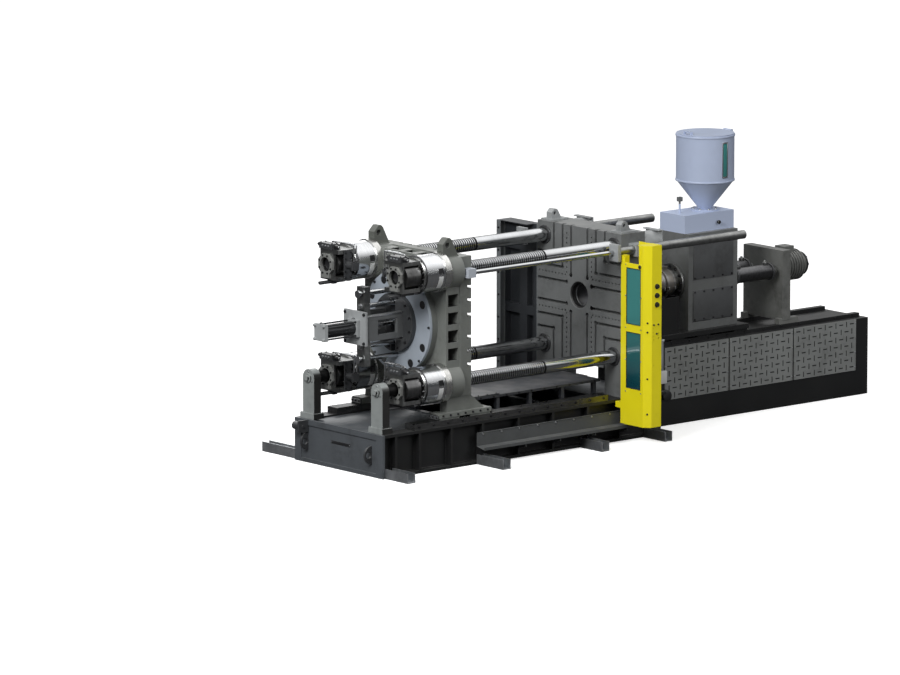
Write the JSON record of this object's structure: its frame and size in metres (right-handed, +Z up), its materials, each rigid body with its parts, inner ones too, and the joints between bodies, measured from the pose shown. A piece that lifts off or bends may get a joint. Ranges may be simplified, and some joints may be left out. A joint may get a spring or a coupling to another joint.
{
  "type": "injection moulding machine",
  "caption": "Two-platen hydraulic injection moulding machine with grooved tie bars, split-nut clamp drums, ejector, guard post and injection unit on a floor bed.",
  "frame": {"origin": "floor point below the middle of the stationary platen's mould face", "axes": "+X along the machine towards the injection unit, -Y towards the operator's side, +Z up"},
  "size_m": [7.13, 2.4205, 2.9395],
  "materials": {
    "bed_paint": "satin dark charcoal enamel",
    "platen_paint": "satin mid grey enamel on casting",
    "machined_steel": "ground steel",
    "chrome": "hard chrome, polished",
    "dark_steel": "black oxide steel",
    "disc_paint": "light blue grey enamel",
    "guard_yellow": "satin yellow enamel",
    "guard_glass": "tinted sheet",
    "column_paint": "satin slate grey enamel",
    "upright_paint": "light grey green enamel",
    "pale_paint": "pale blue grey enamel",
    "galvanised": "bare sheet",
    "black_plastic": "black push button",
    "heater_steel": "heat tinted band"
  },
  "bodies": {
    "root": {"bed_front_beam": "bed_paint", "bed_rear_beam": "bed_paint", "bed_cross_frames": "bed_paint", "bed_end_fittings": "dark_steel", "slideways": "dark_steel", "anchor_channels": "galvanised", "tie_bars": "chrome", "tie_bar_nuts": "dark_steel", "tie_bar_uprights": "upright_paint", "stationary_platen": "platen_paint", "stationary_platen_lifting_lugs": "platen_paint", "traverse_barrels": "dark_steel", "traverse_mounts": "pale_paint", "drop_platform": "bed_paint", "side_tray": "galvanised", "guard_post_front": "guard_yellow", "guard_window_frame": "guard_yellow", "guard_windows": "guard_glass", "button_collars": "machined_steel", "guard_column_rear": "column_paint", "injection_bed": "bed_paint", "injection_vent_panels": "column_paint", "purge_guard_frame": "upright_paint"},
    "moving_platen": {"moving_platen": "platen_paint", "moving_platen_rear_disc": "disc_paint", "moving_platen_lifting_lugs": "platen_paint", "platen_shoes": "platen_paint", "clamp_drums": "chrome", "clamp_drum_rings": "machined_steel", "ejector_cylinder": "dark_steel", "ejector_frame": "dark_steel", "ejector_guide_rods": "chrome", "traverse_rods": "chrome", "moving_cover": "platen_paint"},
    "nut_carriers": {"nut_housings_with_pistons": "dark_steel", "nut_end_rings": "machined_steel", "nut_opening_cylinders": "dark_steel", "nut_valves_and_sensors": "dark_steel"},
    "ejector": {"ejector_crosshead": "platen_paint", "ejector_rods": "chrome"},
    "carriage": {"carriage_base": "bed_paint", "injection_housing": "pale_paint", "barrel": "machined_steel", "heater_bands": "heater_steel", "hopper": "galvanised", "injection_cylinders": "machined_steel"},
    "hopper_lid": {"hopper_lid": "galvanised"},
    "screw_drive": {"screw_drive": "dark_steel"},
    "screw": {"screw": "machined_steel"},
    "half_nut_lower_front_outer": {"half_nut_lower_front_outer": "machined_steel"},
    "half_nut_lower_front_inner": {"half_nut_lower_front_inner": "machined_steel"},
    "half_nut_upper_front_outer": {"half_nut_upper_front_outer": "machined_steel"},
    "half_nut_upper_front_inner": {"half_nut_upper_front_inner": "machined_steel"},
    "half_nut_lower_rear_outer": {"half_nut_lower_rear_outer": "machined_steel"},
    "half_nut_lower_rear_inner": {"half_nut_lower_rear_inner": "machined_steel"},
    "half_nut_upper_rear_outer": {"half_nut_upper_rear_outer": "machined_steel"},
    "half_nut_upper_rear_inner": {"half_nut_upper_rear_inner": "machined_steel"},
    "push_button_lower": {"push_button_lower": "black_plastic"},
    "push_button_middle": {"push_button_middle": "black_plastic"},
    "push_button_upper": {"push_button_upper": "black_plastic"}
  },
  "joints": [
    {"name": "platen_slide", "type": "slide", "parent": "root", "child": "moving_platen", "axis": [1, 0, 0], "range_m": [0, 1.512]},
    {"name": "clamp_stroke", "type": "slide", "parent": "moving_platen", "child": "nut_carriers", "axis": [-1, 0, 0], "range_m": [0, 0.028]},
    {"name": "ejector_slide", "type": "slide", "parent": "moving_platen", "child": "ejector", "axis": [1, 0, 0], "range_m": [0, 0.2]},
    {"name": "carriage_slide", "type": "slide", "parent": "root", "child": "carriage", "axis": [-1, 0, 0], "range_m": [0, 0.35]},
    {"name": "screw_slide", "type": "slide", "parent": "carriage", "child": "screw_drive", "axis": [1, 0, 0], "range_m": [0, 0.3]},
    {"name": "screw_spin", "type": "hinge", "parent": "screw_drive", "child": "screw", "pos_m": [2, 0, 1.403], "axis": [1, 0, 0], "continuous": true},
    {"name": "hopper_lid_hinge", "type": "hinge", "parent": "carriage", "child": "hopper_lid", "pos_m": [2.042, 0, 2.9025], "axis": [0, 1, 0], "range_deg": [0, 100]},
    {"name": "half_nut_lower_front_outer_slide", "type": "slide", "parent": "nut_carriers", "child": "half_nut_lower_front_outer", "axis": [0, 1, 0], "range_m": [0, 0.028]},
    {"name": "half_nut_lower_front_inner_slide", "type": "slide", "parent": "nut_carriers", "child": "half_nut_lower_front_inner", "axis": [0, -1, 0], "range_m": [0, 0.028]},
    {"name": "half_nut_upper_front_outer_slide", "type": "slide", "parent": "nut_carriers", "child": "half_nut_upper_front_outer", "axis": [0, 1, 0], "range_m": [0, 0.028]},
    {"name": "half_nut_upper_front_inner_slide", "type": "slide", "parent": "nut_carriers", "child": "half_nut_upper_front_inner", "axis": [0, -1, 0], "range_m": [0, 0.028]},
    {"name": "half_nut_lower_rear_outer_slide", "type": "slide", "parent": "nut_carriers", "child": "half_nut_lower_rear_outer", "axis": [0, -1, 0], "range_m": [0, 0.028]},
    {"name": "half_nut_lower_rear_inner_slide", "type": "slide", "parent": "nut_carriers", "child": "half_nut_lower_rear_inner", "axis": [0, 1, 0], "range_m": [0, 0.028]},
    {"name": "half_nut_upper_rear_outer_slide", "type": "slide", "parent": "nut_carriers", "child": "half_nut_upper_rear_outer", "axis": [0, -1, 0], "range_m": [0, 0.028]},
    {"name": "half_nut_upper_rear_inner_slide", "type": "slide", "parent": "nut_carriers", "child": "half_nut_upper_rear_inner", "axis": [0, 1, 0], "range_m": [0, 0.028]},
    {"name": "push_button_lower_travel", "type": "slide", "parent": "root", "child": "push_button_lower", "axis": [0, 1, 0], "range_m": [0, 0.006], "stiffness_N_per_m": 400},
    {"name": "push_button_middle_travel", "type": "slide", "parent": "root", "child": "push_button_middle", "axis": [0, 1, 0], "range_m": [0, 0.006], "stiffness_N_per_m": 400},
    {"name": "push_button_upper_travel", "type": "slide", "parent": "root", "child": "push_button_upper", "axis": [0, 1, 0], "range_m": [0, 0.006], "stiffness_N_per_m": 400}
  ],
  "couplings": [
    {"joint": "half_nut_lower_front_inner_slide", "follows": "half_nut_lower_front_outer_slide", "ratio": 1},
    {"joint": "half_nut_upper_front_outer_slide", "follows": "half_nut_lower_front_outer_slide", "ratio": 1},
    {"joint": "half_nut_upper_front_inner_slide", "follows": "half_nut_lower_front_outer_slide", "ratio": 1},
    {"joint": "half_nut_lower_rear_outer_slide", "follows": "half_nut_lower_front_outer_slide", "ratio": 1},
    {"joint": "half_nut_lower_rear_inner_slide", "follows": "half_nut_lower_front_outer_slide", "ratio": 1},
    {"joint": "half_nut_upper_rear_outer_slide", "follows": "half_nut_lower_front_outer_slide", "ratio": 1},
    {"joint": "half_nut_upper_rear_inner_slide", "follows": "half_nut_lower_front_outer_slide", "ratio": 1}
  ]
}
